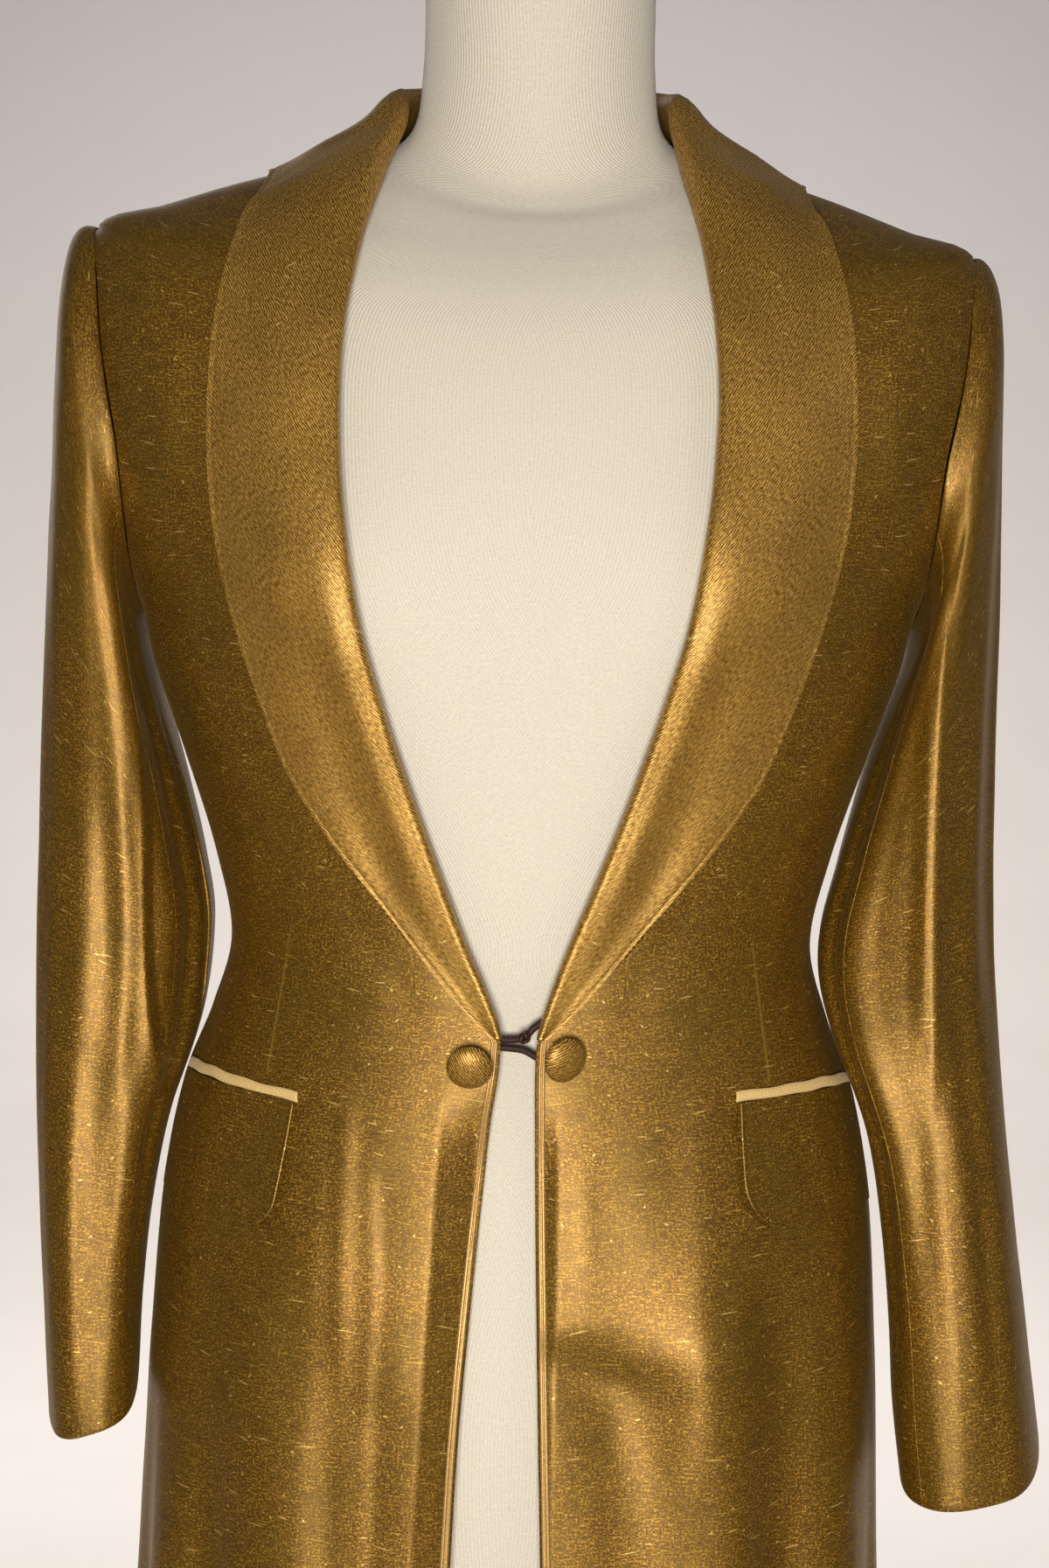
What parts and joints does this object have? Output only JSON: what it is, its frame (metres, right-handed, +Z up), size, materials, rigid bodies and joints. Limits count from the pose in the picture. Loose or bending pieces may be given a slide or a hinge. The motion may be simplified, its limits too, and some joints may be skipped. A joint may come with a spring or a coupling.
{
  "type": "link-fronted day coat on a limbless dress form",
  "caption": "Women's knee-length day coat in slubbed silk with a satin shawl collar, flap pockets and a corded link front, worn by a limbless dress form on a pole and round base.",
  "frame": {"origin": "centre of the round base's underside, on the floor", "axes": "+Z up, -Y out of the coat's front, +X towards the wearer's left sleeve"},
  "size_m": [0.4568, 0.356, 1.511],
  "materials": {
    "coat_silk": "old-gold slubbed silk with a soft sheen",
    "collar_satin": "lighter satin face with a fine diagonal twill",
    "trim_satin": "pale gold satin",
    "link_cord": "dark brown braid",
    "form_jersey": "ivory ribbed jersey",
    "pole_steel": "fine brushed",
    "base_paint": "satin ivory paint"
  },
  "bodies": {
    "root": {"front_left": "coat_silk", "front_right": "coat_silk", "side_left": "coat_silk", "side_right": "coat_silk", "back_left": "coat_silk", "back_right": "coat_silk", "sleeve_top_left": "coat_silk", "sleeve_top_right": "coat_silk", "sleeve_under_left": "coat_silk", "sleeve_under_right": "coat_silk", "pocket_flap_left": "coat_silk", "pocket_flap_right": "coat_silk", "collar_left": "collar_satin", "collar_right": "collar_satin", "link_button_left": "collar_satin", "link_button_right": "collar_satin", "pocket_jet_left": "trim_satin", "pocket_jet_right": "trim_satin", "edge_piping_left": "trim_satin", "edge_piping_right": "trim_satin", "link_strand_upper": "link_cord", "link_strand_lower": "link_cord", "link_knot": "link_cord", "form_torso": "form_jersey", "stand_pole": "pole_steel", "stand_base": "base_paint"}
  },
  "joints": []
}
